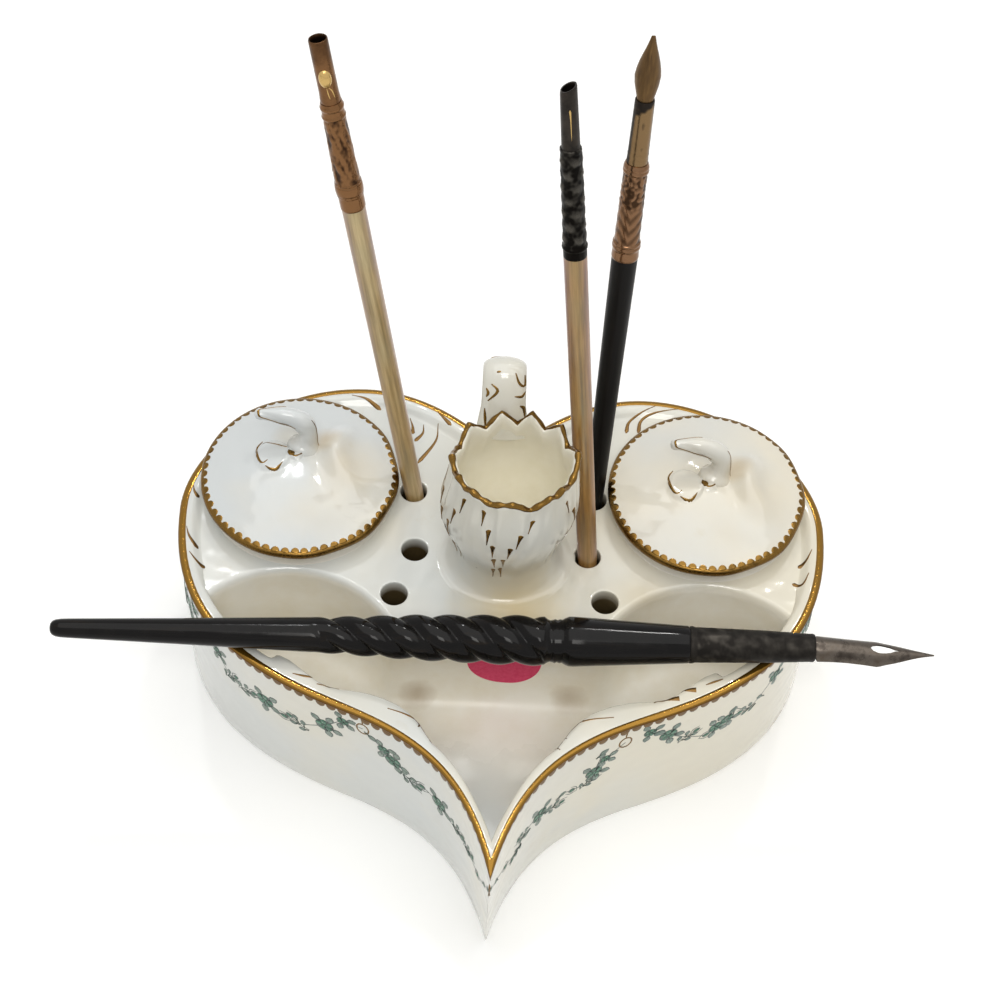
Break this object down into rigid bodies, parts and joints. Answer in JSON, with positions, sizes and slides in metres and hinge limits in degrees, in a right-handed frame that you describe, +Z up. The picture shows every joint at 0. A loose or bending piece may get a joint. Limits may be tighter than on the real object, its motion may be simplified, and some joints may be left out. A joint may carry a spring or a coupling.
{
  "type": "desk inkstand",
  "caption": "Heart-shaped porcelain desk inkstand with lidded ink wells, a petal-rimmed cup, holes for standing pens and an open pen tray, with its dip pens.",
  "frame": {"origin": "on the table, under the midpoint between the axes of the two ink wells", "axes": "+Z up; -Y towards the tip of the heart; +X to the right as the writer faces the tip, along the line through the two wells"},
  "size_m": [0.2167, 0.1429, 0.1785],
  "materials": {
    "porcelain_body": "clear glossy glaze over cream-white porcelain, gilded and painted",
    "porcelain_lids": "clear glossy glaze over cream-white porcelain, gilded edge",
    "gilding": "fired and burnished gold, worn thin on the high spots",
    "garland_enamel": "over-glaze enamel, fired glossy",
    "pink_paper": "matt uncoated paper",
    "mother_of_pearl": "polished shell with a soft sheen",
    "aged_gold": "rolled gold, engraved, rubbed dark",
    "tarnished_silver": "tarnished repousse silver",
    "ebony": "polished ebony",
    "gilt_nib": "satin gold nib",
    "dark_horn": "polished dark horn, carved",
    "dark_ferrule": "blackened steel, polished by handling",
    "nib_steel": "bright rolled steel"
  },
  "bodies": {
    "stand": {"heart_wall": "porcelain_body", "deck": "porcelain_body", "left_front_wing": "porcelain_body", "left_back_wing": "porcelain_body", "right_front_wing": "porcelain_body", "right_back_wing": "porcelain_body", "riser": "porcelain_body", "tray_floor": "porcelain_body", "underside_panel": "porcelain_body", "left_ink_well": "porcelain_body", "right_ink_well": "porcelain_body", "taper_cup": "porcelain_body", "cup_handle": "porcelain_body", "blank_paper_dot": "pink_paper"},
    "left_lid": {"left_lid": "porcelain_lids", "left_lid_knob": "porcelain_lids"},
    "right_lid": {"right_lid": "porcelain_lids", "right_lid_knob": "porcelain_lids"},
    "pearl_pen": {"pearl_pen_shaft": "mother_of_pearl", "pearl_pen_ferrule": "aged_gold", "pearl_pen_tube": "aged_gold", "pearl_pen_stud": "aged_gold"},
    "silver_pen": {"silver_pen_shaft": "mother_of_pearl", "silver_pen_barrel": "tarnished_silver", "silver_pen_tube": "tarnished_silver"},
    "ebony_pen": {"ebony_pen_shaft": "ebony", "ebony_pen_barrel": "aged_gold", "ebony_pen_sleeve": "aged_gold"},
    "ebony_nib": {"ebony_pen_nib": "gilt_nib"},
    "rope_pen": {"rope_pen_holder": "dark_horn", "rope_pen_ferrule": "dark_ferrule"},
    "rope_nib": {"rope_pen_nib": "nib_steel"}
  },
  "joints": [
    {"name": "left_lid_lift", "type": "slide", "parent": "stand", "child": "left_lid", "axis": [-0.163, 0.1671, 0.9724], "range_m": [0, 0.06]},
    {"name": "right_lid_lift", "type": "slide", "parent": "stand", "child": "right_lid", "axis": [0, 0, 1], "range_m": [0, 0.06]},
    {"name": "pearl_pen_lift", "type": "slide", "parent": "stand", "child": "pearl_pen", "axis": [-0.163, 0.1671, 0.9724], "range_m": [0, 0.15]},
    {"name": "silver_pen_lift", "type": "slide", "parent": "stand", "child": "silver_pen", "axis": [-0.0945, 0.2227, 0.9703], "range_m": [0, 0.15]},
    {"name": "ebony_pen_lift", "type": "slide", "parent": "stand", "child": "ebony_pen", "axis": [0.0308, 0.2194, 0.9752], "range_m": [0, 0.15]},
    {"name": "ebony_nib_pull", "type": "slide", "parent": "ebony_pen", "child": "ebony_nib", "axis": [0.0308, 0.2194, 0.9752], "range_m": [0, 0.012]},
    {"name": "rope_pen_lift", "type": "slide", "parent": "stand", "child": "rope_pen", "axis": [0, 0, 1], "range_m": [0, 0.08]},
    {"name": "rope_nib_pull", "type": "slide", "parent": "rope_pen", "child": "rope_nib", "axis": [0.9998, 0.0175, 0], "range_m": [0, 0.012]}
  ]
}
